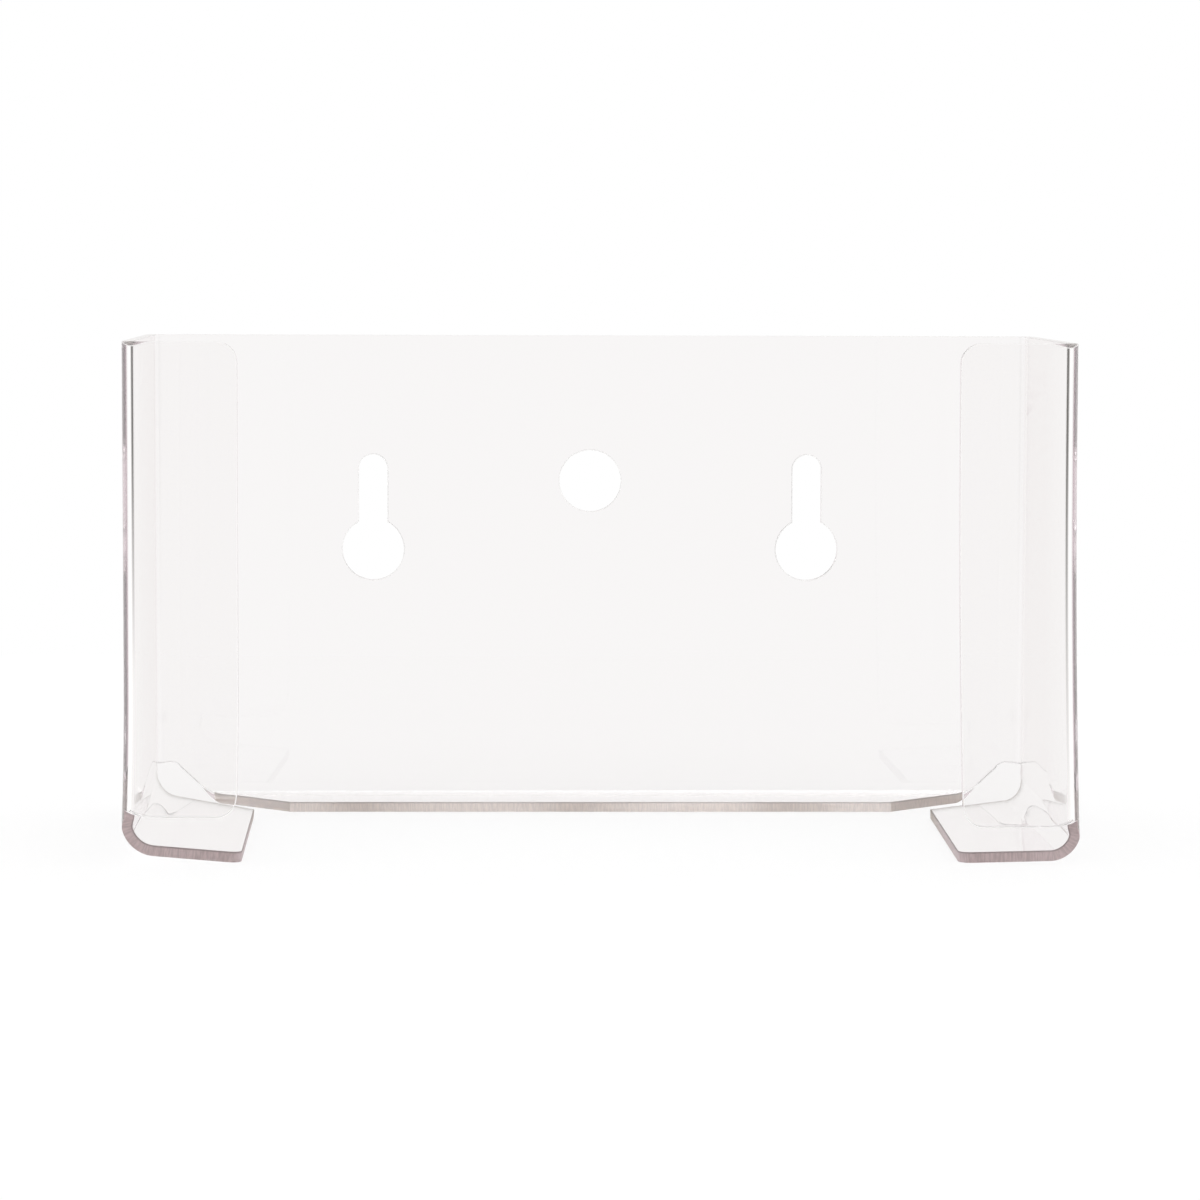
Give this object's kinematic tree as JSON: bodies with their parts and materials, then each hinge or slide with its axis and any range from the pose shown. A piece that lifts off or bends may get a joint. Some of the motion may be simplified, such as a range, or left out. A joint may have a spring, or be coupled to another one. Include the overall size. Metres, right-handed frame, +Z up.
{
  "type": "face mask dispenser",
  "caption": "Clear sheet holder for a carton of face masks, with keyholes for hanging on a wall, an open front between bent lips and an open bottom between bent tabs.",
  "frame": {"origin": "below the middle of the outline, on the surface that the tabs stand on", "axes": "+X along the width, +Y from the open front to the back panel, +Z up"},
  "size_m": [0.2154, 0.108, 0.1153],
  "materials": {
    "clear_sheet": "clear, polished faces with sawn edges"
  },
  "bodies": {
    "root": {"dispenser_sheet": "clear_sheet"}
  },
  "joints": []
}
